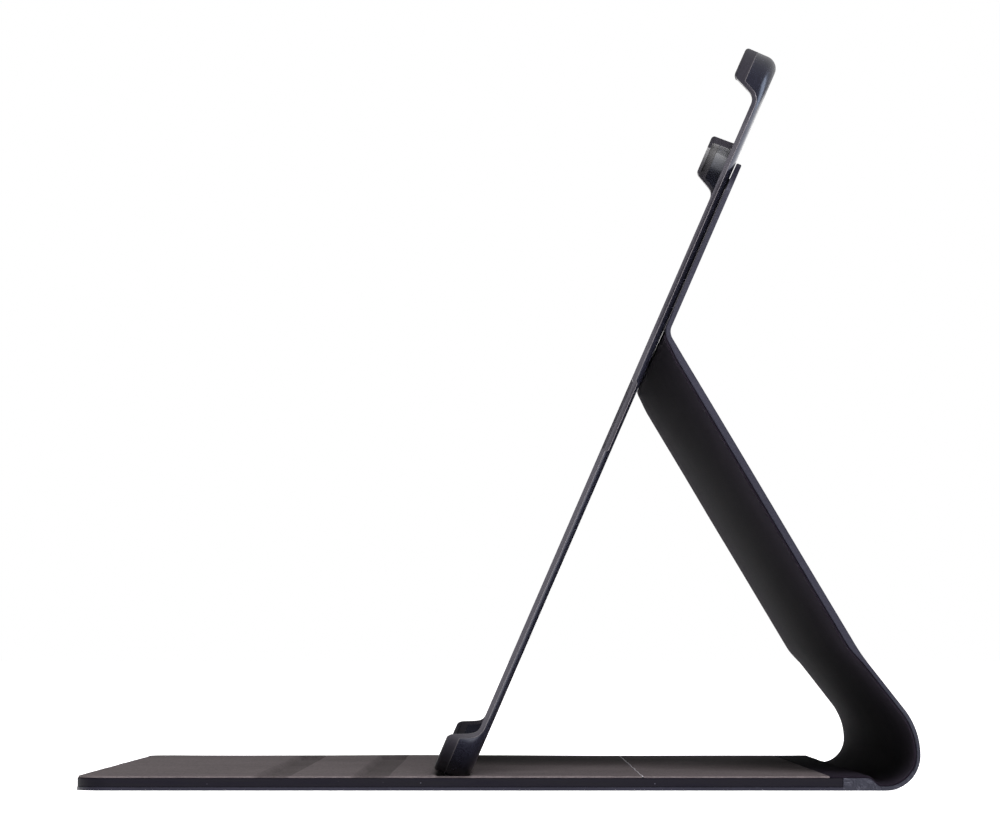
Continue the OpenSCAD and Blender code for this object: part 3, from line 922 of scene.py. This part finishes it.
def tray_outline():
    """Places and outward directions round the tray, closer together where the wall's height changes."""
    half_long, r = TRAY_LONG / 2, TRAY_CORNER
    places = []
    bend = [1.5 * i for i in range(61)]

    def along(start, end, fixed, outward, horizontal, critical):
        values = set(start + (end - start) * i / 40 for i in range(41))
        values |= {c for c in critical if min(start, end) < c < max(start, end)}
        for value in sorted(values, reverse=end < start):
            places.append(((value, fixed) if horizontal else (fixed, value), outward))

    def corner(cu, cw, first):
        angles = set(bend)
        for edge in EDGES["near", 0.0] + EDGES["near", BAND]:
            for shift in (0, 0.9 * MM, -0.9 * MM):
                reach = (abs(edge.x + shift - cu)) / r
                if reach < 1:
                    angles |= {math.degrees(math.acos(reach)), math.degrees(math.asin(reach))}
        last = None
        for angle in sorted(angles):
            if last is not None and angle - last < 0.12:
                continue
            last = angle
            a = math.radians(first + angle)
            places.append(((cu + r * math.cos(a), cw + r * math.sin(a)), (math.cos(a), math.sin(a))))

    side_points = [q.x for g in (0.0, BAND) for q in EDGES["near", g]]
    top_points = [q.x for g in (0.0, BAND) for q in EDGES["top", g]]
    # counted from +u towards +w: top right corner, far side, lower corner, bottom, and back by the near side
    corner(TRAY_SHORT - r, half_long - r, 0)
    along(TRAY_SHORT - r, r, half_long, (0, 1), True, [])
    corner(r, half_long - r, 90)
    along(half_long - r, r - half_long, 0, (-1, 0), False, [])
    corner(r, r - half_long, 180)
    along(r, TRAY_SHORT - r, -half_long, (0, -1), True, side_points)
    corner(TRAY_SHORT - r, r - half_long, 270)
    along(r - half_long, half_long - r, TRAY_SHORT, (1, 0), False, top_points)
    cleaned = []
    for place, outward in places:
        if not cleaned or math.dist(place, cleaned[-1][0]) > 0.03 * MM:
            cleaned.append((place, outward))
    return cleaned


def inset_at(v):
    """How far the tray's outside lies inside its plan outline at a height."""
    if v < REAR_ROUND:
        return REAR_ROUND - math.sqrt(max(0.0, REAR_ROUND ** 2 - (REAR_ROUND - v) ** 2))
    over = v - (TRAY_THICK - LIP_ROUND)
    return LIP_ROUND - math.sqrt(max(0.0, LIP_ROUND ** 2 - over ** 2)) if over > 0 else 0.0


def ring_mesh(name, rings, material, caps=None):
    """A closed solid from rings round the tray. caps(bm, rings of vertices) closes what they leave open."""
    bm = bmesh.new()
    verts = [[bm.verts.new(in_tray(*q)) for q in ring] for ring in rings]
    count = len(rings)
    width = len(rings[0])
    for i in range(count):
        here, after = verts[i], verts[(i + 1) % count]
        for j in range(width if caps is None else width - 1):
            k = (j + 1) % width
            bm.faces.new((here[j], here[k], after[k], after[j]))
    if caps:
        caps(bm, verts)
    bmesh.ops.remove_doubles(bm, verts=bm.verts, dist=0.002 * MM)
    bmesh.ops.dissolve_degenerate(bm, edges=bm.edges, dist=0.001 * MM)
    bmesh.ops.recalc_face_normals(bm, faces=bm.faces)
    mesh = bpy.data.meshes.new(name)
    bm.to_mesh(mesh)
    bm.free()
    return link_mesh(name, mesh, material)


def point_in(place, outward, d, v):
    return (place[0] - outward[0] * d, place[1] - outward[1] * d, v)


def parting_at(place, outward, d):
    q = point_in(place, outward, d, 0)
    return min(PARTING, wall_height(q[0], q[1], BAND))


def shell_ring(place, outward):
    top = parting_at(place, outward, 0.0)
    inner_top = parting_at(place, outward, WALL)
    sweep = math.acos(max(0.0, (REAR_ROUND - top) / REAR_ROUND))
    ring = []
    for i in range(11):
        a = sweep * i / 10
        ring.append(point_in(place, outward, REAR_ROUND * (1 - math.sin(a)), REAR_ROUND * (1 - math.cos(a))))
    if top > REAR_ROUND:
        ring.append(point_in(place, outward, 0.0, top))
    else:
        ring.append(ring[-1])
    ring.append(point_in(place, outward, WALL, inner_top))
    ring.append(point_in(place, outward, WALL, BACK_PLATE))
    return ring


def close_plate(bm, verts):
    """Back and floor of the tray, with the camera's window through both."""
    loops = []
    for height, column in ((0.0, 0), (BACK_PLATE, -1)):
        window = []
        for cu, cw, first in ((1, 1, 0), (-1, 1, 90), (-1, -1, 180), (1, -1, 270)):
            for i in range(13):
                a = math.radians(first + 7.5 * i)
                along = CAMERA_MIDDLE[0] + cu * (CAMERA_HALF[0] - CAMERA_ROUND) + CAMERA_ROUND * math.cos(a)
                across = CAMERA_MIDDLE[1] + cw * (CAMERA_HALF[1] - CAMERA_ROUND) + CAMERA_ROUND * math.sin(a)
                window.append(bm.verts.new(in_tray(along, across, height)))
        loops.append(window)
        edges = []
        for loop in (window, [ring[column] for ring in verts]):
            for a, b in zip(loop, loop[1:] + loop[:1]):
                edges.append(bm.edges.get((a, b)) or bm.edges.new((a, b)))
        bmesh.ops.triangle_fill(bm, use_beauty=True, edges=edges)
    for i in range(len(loops[0])):
        k = (i + 1) % len(loops[0])
        bm.faces.new((loops[0][i], loops[0][k], loops[1][k], loops[1][i]))


PARTING_GAP = 0.04 * MM


def bumper_ring(place, outward):
    low = parting_at(place, outward, 0.0) + PARTING_GAP
    low_in = parting_at(place, outward, WALL) + PARTING_GAP
    high = wall_height(*place, 0.0)
    inner = point_in(place, outward, WALL, 0)
    high_in = wall_height(inner[0], inner[1], 0.0)
    lip = point_in(place, outward, LIP_IN, 0)
    high_lip = wall_height(lip[0], lip[1], 0.0)
    straight = max(low, high - LIP_ROUND)
    heights = [low + (straight - low) * i / 4 for i in range(5)]
    heights += [straight + (high - straight) * math.sin(math.radians(15 * i)) for i in range(1, 7)]
    ring = [point_in(place, outward, inset_at(v), v) for v in heights]
    if high_lip > LIP_UNDER + 0.02 * MM:
        ring += [point_in(place, outward, LIP_IN, high_lip), point_in(place, outward, LIP_IN, LIP_UNDER),
                 point_in(place, outward, WALL, LIP_UNDER)]
    else:
        ring += [point_in(place, outward, WALL, min(high_in, LIP_UNDER))] * 3
    return ring + [point_in(place, outward, WALL, low_in)]


def bead_ring(place, outward):
    """A thin strip along the moulding's parting edge, paler than the plastic round it: a painted highlight
    for the light that the edge catches.
    """
    v = parting_at(place, outward, 0.0) + PARTING_GAP / 2
    half, proud, deep = 0.11 * MM, 0.05 * MM, 0.12 * MM
    section = ((deep, -half), (-proud * 0.5, -half), (-proud, 0), (-proud * 0.5, half), (deep, half))
    return [point_in(place, outward, inset_at(v) + d, v + dv) for d, dv in section]


def weighted(obj):
    obj.modifiers.new("normals", "WEIGHTED_NORMAL").keep_sharp = True
    return obj


def make_tray():
    outline = tray_outline()
    shell = ring_mesh("tray_rear_shell", [shell_ring(*q) for q in outline], SHELL_MAT, close_plate)
    bumper = ring_mesh("tray_bumper_frame", [bumper_ring(*q) for q in outline], BUMPER_MAT)
    bead = ring_mesh("tray_parting_bead", [bead_ring(*q) for q in outline], PARTING_HIGHLIGHT_MAT)
    weighted(bevel(shell, 0.1 * MM, 2, 45))
    weighted(bevel(bumper, 0.14 * MM, 2, 45))
    ride_all("holder", "shell", shell)
    ride_all("holder", "bumper", bumper, bead)
    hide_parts("rear_shell")
    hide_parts("bumper_frame")
    dress_cad("keeper_strip", METAL_MAT)
    dress_cad("panel_adhesive", GLUE_MAT)


def make_hidden_parts():
    for i in range(1, 5):
        dress_cad(f"cover_board_{i}", BOARD_MAT)
    for i in range(1, 4):
        dress_cad(f"groove_magnet_{i}", METAL_MAT)
    for i in range(1, 3):
        dress_cad(f"closure_magnet_{i}", METAL_MAT)


# ---------------------------------------------------------------- floor, light and camera
FLOOR_HALF = 40.0
FLOOR_DROP = 0.02 * MM
FLOOR_GLOW = 0.95
FLOOR_GLOW_IN_GLOSS = 2.8
WORLD_STRENGTH = (0.12, 0.52)
VIEW_AT = (2.84 * MM, -1318 * MM, 30.1 * MM)
VIEW_TILT = 2.601
VIEW_PAN = 0.109
VIEW_LENS = 188.57


def area_light(name, at, towards, size, power, colour=(1, 1, 1)):
    data = bpy.data.lights.new(name, "AREA")
    data.shape = "RECTANGLE"
    data.size, data.size_y = size
    data.energy = power
    data.color = colour
    obj = bpy.data.objects.new(name, data)
    obj.location = at
    obj.rotation_euler = (Vector(towards) - Vector(at)).to_track_quat("-Z", "Y").to_euler()
    bpy.context.scene.collection.objects.link(obj)
    return obj


def make_stage():
    corners = [(x * FLOOR_HALF, y * FLOOR_HALF, 0) for x, y in ((-1, -1), (1, -1), (1, 1), (-1, 1))]
    mesh = bpy.data.meshes.new("floor")
    mesh.from_pydata(corners, [], [(0, 1, 2, 3)])
    floor = bpy.data.objects.new("floor", mesh)
    floor.location.z = -FLOOR_DROP
    bpy.context.scene.collection.objects.link(floor)
    mat, tree, shader = new_material("floor_white")
    shader.inputs["Base Color"].default_value = (0.95, 0.95, 0.95, 1)
    shader.inputs["Roughness"].default_value = 0.9
    shader.inputs["Specular IOR Level"].default_value = 0.0
    shader.inputs["Emission Color"].default_value = (1, 0.985, 0.97, 1)
    # in reflections the table is brighter than it looks, as an overexposed white one is
    n = Nodes(tree)
    seen_in_gloss = tree.nodes.new("ShaderNodeLightPath").outputs["Is Glossy Ray"]
    n.link(n.range(seen_in_gloss, 0, 1, FLOOR_GLOW, FLOOR_GLOW_IN_GLOSS), shader.inputs["Emission Strength"])
    mesh.materials.append(mat)
    make_world()
    area_light("left_softbox", (-1.2, -0.5, 0.6), (0, 0, 0.08), (0.7, 0.6), 0.6, (1.0, 0.95, 0.88))
    area_light("front_softbox", (0.3, -1.6, 0.8), (0, 0, 0.05), (1.0, 0.4), 50, (1.0, 0.96, 1.0))
    area_light("right_softbox", (1.2, 0.1, 0.5), (0.05, 0, 0.08), (0.5, 0.8), 7, (0.72, 0.83, 1.0))


def make_world():
    """Seen directly the world is white; as light it is dimmer on the side that the photographer stands on."""
    world = bpy.data.worlds.new("studio")
    bpy.context.scene.world = world
    world.use_nodes = True
    tree = world.node_tree
    n = Nodes(tree)
    split = tree.nodes.new("ShaderNodeSeparateXYZ")
    coords = tree.nodes.new("ShaderNodeTexCoord")
    n.link(coords.outputs["Generated"], split.inputs["Vector"])
    n.link(n.range(split.outputs["Y"], -0.8, 0.6, *WORLD_STRENGTH),
           tree.nodes["Background"].inputs["Strength"])
    seen = tree.nodes.new("ShaderNodeBackground")
    mixed = tree.nodes.new("ShaderNodeMixShader")
    path = tree.nodes.new("ShaderNodeLightPath")
    tree.nodes["Background"].inputs["Color"].default_value = (1, 1, 1, 1)
    seen.inputs["Color"].default_value = (1, 1, 1, 1)
    n.link(path.outputs["Is Camera Ray"], mixed.inputs["Fac"])
    n.link(tree.nodes["Background"].outputs["Background"], mixed.inputs[1])
    n.link(seen.outputs["Background"], mixed.inputs[2])
    n.link(mixed.outputs["Shader"], tree.nodes["World Output"].inputs["Surface"])


def make_camera():
    data = bpy.data.cameras.new("camera")
    data.lens = VIEW_LENS
    data.sensor_width = 36
    data.clip_end = 200
    obj = bpy.data.objects.new("camera", data)
    obj.location = VIEW_AT
    obj.rotation_euler = (math.radians(90 + VIEW_TILT), 0, math.radians(VIEW_PAN))
    bpy.context.scene.collection.objects.link(obj)
    bpy.context.scene.camera = obj


make_camera()
make_stage()
make_cover()
make_bends()
make_tray()
make_hidden_parts()
bpy.context.scene.view_settings.view_transform = "Standard"
